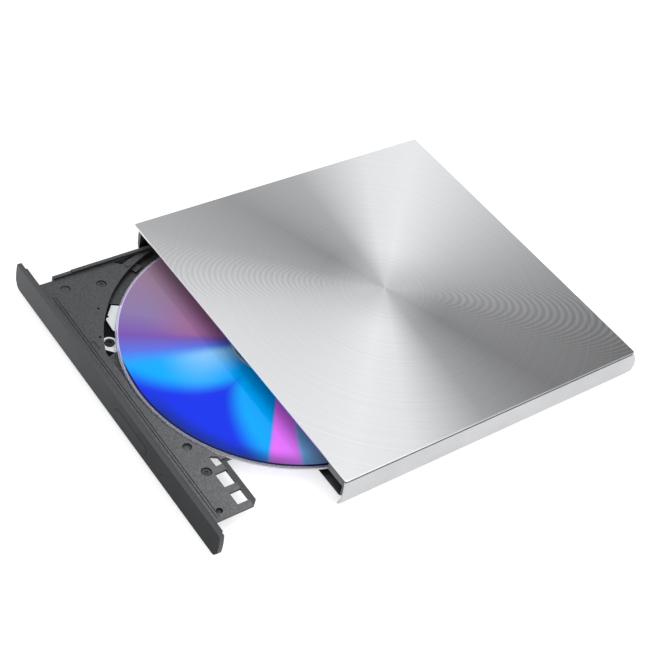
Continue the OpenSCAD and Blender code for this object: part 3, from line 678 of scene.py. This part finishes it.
def circle(radius, z):
    """Points round the disc's axis."""
    turns = [2 * math.pi * i / DISC_SIDES for i in range(DISC_SIDES)]
    return [(disc_centre.x + radius * math.cos(turn), disc_centre.y + radius * math.sin(turn), z)
            for turn in turns]


def step(radii, z, rise):
    """Four points of a groove or ridge with sloping sides, rise millimetres from z."""
    start, inner, outer, end = radii
    return (start, z), (inner, z + rise * MM), (outer, z + rise * MM), (end, z)


def turned_disc(material):
    """Disc with its bevelled rim, shallow grooves, stacking ridge underneath and centre hole."""
    top, under, rim = disc_high.z, disc_low.z + 0.1 * MM, disc_radius / MM
    profile = (
        (HOLE + 0.05, under), *step(UNDER_RIDGE, under, -0.1), (rim - 0.25, under),
        (rim, under + 0.25 * MM), (rim, top - 0.25 * MM), (rim - 0.1, top - 0.08 * MM),
        (rim - 0.28, top), *reversed(step(STACK_GROOVE, top, -0.03)),
        *reversed(step(CLAMP_GROOVE, top, -0.12)), (HOLE + 0.2, top), (HOLE, top - 0.2 * MM),
    )
    bm = bmesh.new()
    rings = loft(bm, [circle(radius * MM, z) for radius, z in profile])
    bridge(bm, rings[-1], rings[0])
    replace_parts(mesh_piece("disc_turned", "spindle", bm, material), "disc")


# ---------- stage ----------

FLOOR_HALF = 3.0
FLOOR_Z = -0.02 * MM
FLOOR_GLOW = 0.55
SKY = (0.97, 0.98, 1.0)
SKY_STRENGTH = 1.0
# Each softbox: its name, its place, what it points at, its size and its power in watts.
SOFTBOXES = (
    ("overhead", (0.25, 0.1, 1.1), (0, -0.03, 0), (0.7, 0.7), 3.0),
    ("front_right", (0.9, -0.7, 0.6), (0.03, -0.03, 0), (0.7, 0.5), 2.0),
)


def floor_paper():
    """White paper that carries a little light of its own."""
    m = Finish("floor_paper")
    m.set(Base_Color=m.blend(m.noise(900, 4), shade(0.60), shade(0.63)), Roughness=0.9,
          Emission_Color=shade(1.0), Emission_Strength=FLOOR_GLOW)
    return m.material


def add_floor():
    bm = bmesh.new()
    corners = ((-1, -1), (1, -1), (1, 1), (-1, 1))
    bm.faces.new([bm.verts.new((x * FLOOR_HALF, y * FLOOR_HALF, FLOOR_Z)) for x, y in corners])
    new_object("floor", bm, floor_paper())


def add_softbox(name, position, target, size, power):
    data = bpy.data.lights.new(name, "AREA")
    data.shape = "RECTANGLE"
    data.size, data.size_y = size
    data.energy = power
    light = bpy.data.objects.new(name, data)
    light.location = position
    light.rotation_mode = "QUATERNION"
    light.rotation_quaternion = (Vector(target) - Vector(position)).to_track_quat("-Z", "Y")
    bpy.context.scene.collection.objects.link(light)


def add_light():
    world = bpy.data.worlds.new("studio")
    bpy.context.scene.world = world
    world.use_nodes = True
    back = world.node_tree.nodes["Background"]
    back.inputs["Color"].default_value = shade(SKY)
    back.inputs["Strength"].default_value = SKY_STRENGTH
    for softbox in SOFTBOXES:
        add_softbox(*softbox)


# The photo's camera: which way it looks, in degrees, where it stands and its lens in millimetres.
CAMERA_AZIMUTH, CAMERA_ELEVATION, CAMERA_ROLL = 44.12, 43.55, 14.86
CAMERA_PLACE = (0.2778, -0.3131, 0.3845)
CAMERA_LENS = 80.96
CAMERA_SENSOR = 36


def camera_axes():
    """The camera's right, up and backward directions, as the rows of a matrix."""
    azimuth, elevation, roll = (math.radians(angle)
                                for angle in (CAMERA_AZIMUTH, CAMERA_ELEVATION, CAMERA_ROLL))
    ahead = Vector((-math.sin(azimuth) * math.cos(elevation),
                    math.cos(azimuth) * math.cos(elevation), -math.sin(elevation)))
    level = Vector((math.cos(azimuth), math.sin(azimuth), 0))
    upright = level.cross(ahead)
    right = level * math.cos(roll) + upright * math.sin(roll)
    up = upright * math.cos(roll) - level * math.sin(roll)
    return Matrix((right, up, -ahead))


def add_camera():
    data = bpy.data.cameras.new("camera")
    data.sensor_width = CAMERA_SENSOR
    data.lens = CAMERA_LENS
    data.clip_start, data.clip_end = 0.01, 20
    camera = bpy.data.objects.new("camera", data)
    camera.matrix_world = Matrix.Translation(CAMERA_PLACE) @ camera_axes().transposed().to_4x4()
    bpy.context.scene.collection.objects.link(camera)
    bpy.context.scene.camera = camera


finishes = dress_nodes()
chamfered_plate(finishes["plate_aluminium"])
turned_disc(finishes["disc_surface"])
add_floor()
add_light()
add_camera()
bpy.context.scene.view_settings.view_transform = "Standard"
